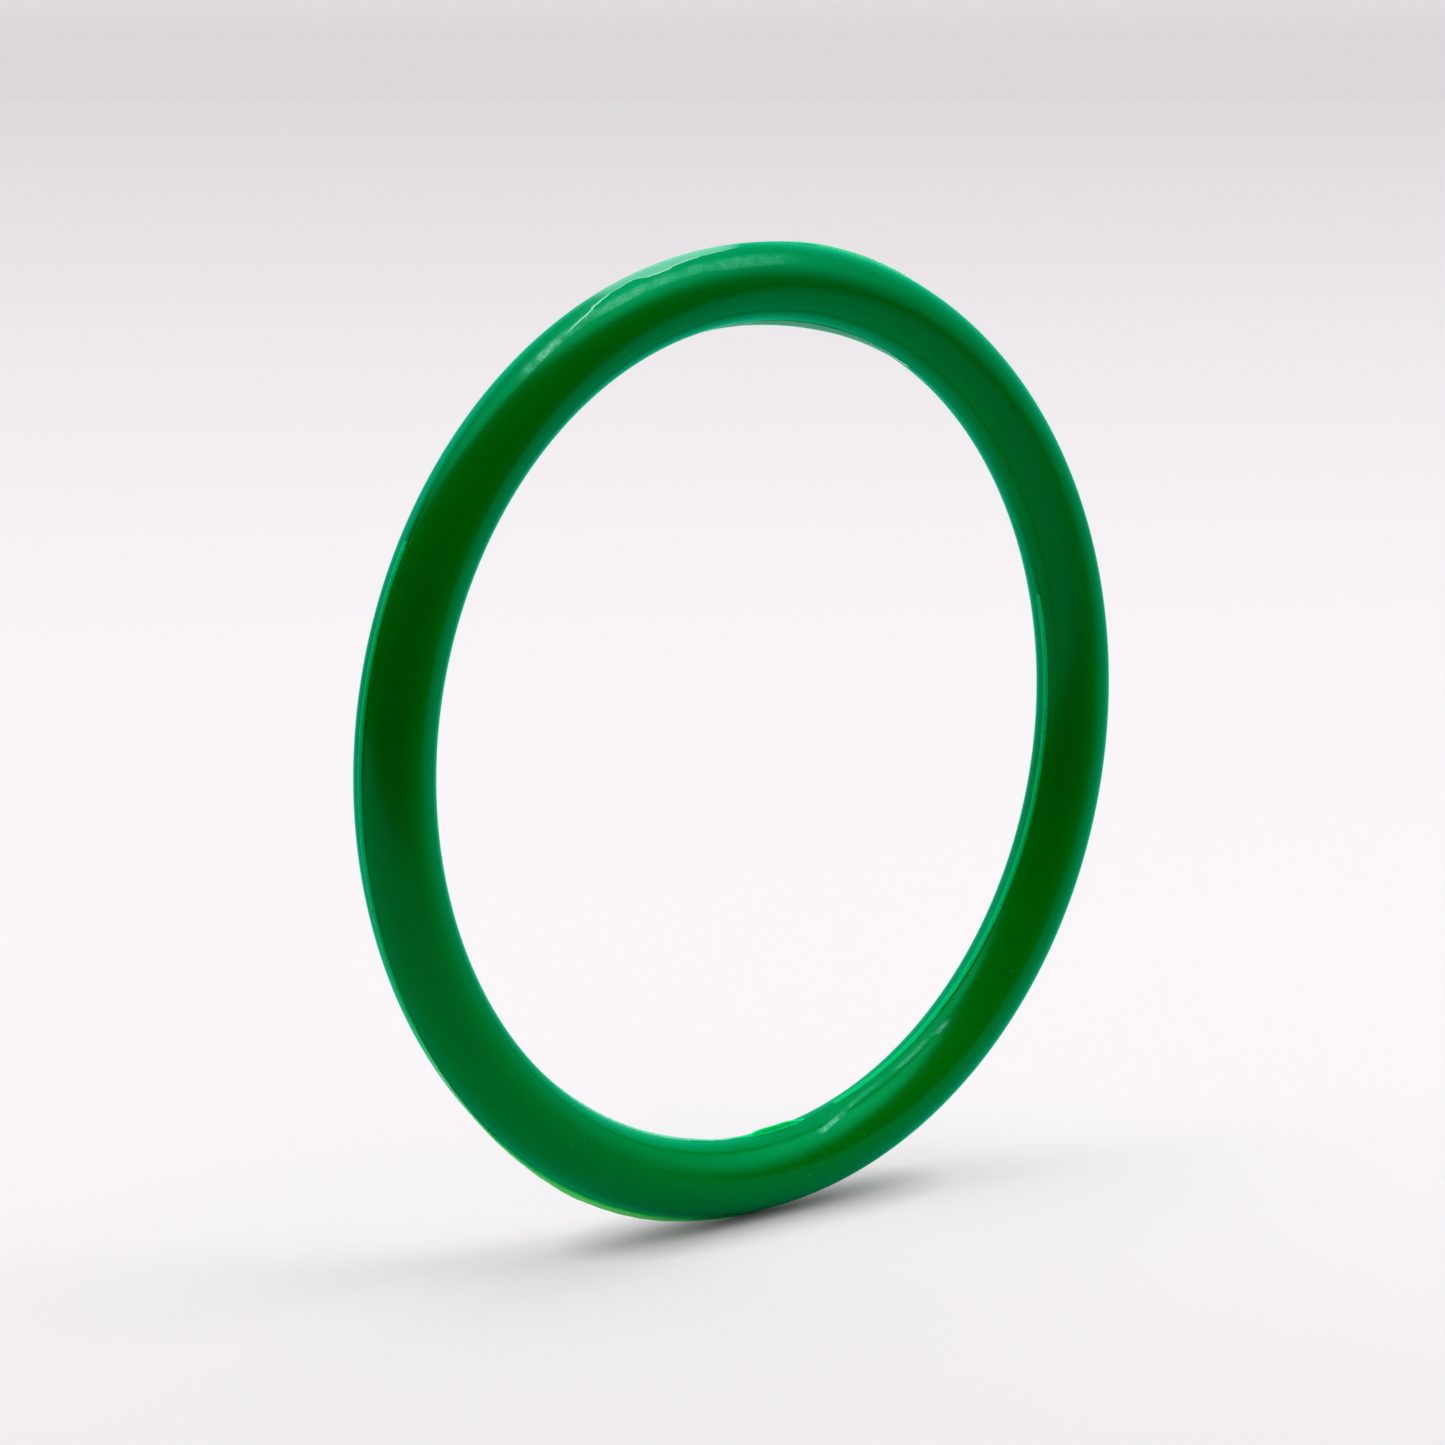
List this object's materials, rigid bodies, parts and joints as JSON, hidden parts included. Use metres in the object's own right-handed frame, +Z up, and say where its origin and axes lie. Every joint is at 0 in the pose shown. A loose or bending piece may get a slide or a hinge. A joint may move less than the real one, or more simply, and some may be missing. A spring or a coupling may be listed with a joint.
{
  "type": "flying ring",
  "caption": "Hollow round-section plastic ring for throwing, catching and tossing over a peg, welded from two moulded half shells along a trimmed seam.",
  "frame": {"origin": "centre of the ring, on its axis and on the middle plane where the two shells meet", "axes": "+Y along the ring's axis, from the front shell to the back shell; +Z up as the ring stands on edge; +X to the right seen from the front"},
  "size_m": [0.1532, 0.012, 0.1532],
  "materials": {
    "shell_plastic": "satin-gloss moulded polyethylene, deep green",
    "bead_plastic": "thin trimmed weld lip, brighter green where light passes through it"
  },
  "bodies": {
    "root": {"front_shell": "shell_plastic", "back_shell": "shell_plastic", "outer_weld_bead": "bead_plastic", "inner_weld_bead": "bead_plastic"}
  },
  "joints": []
}
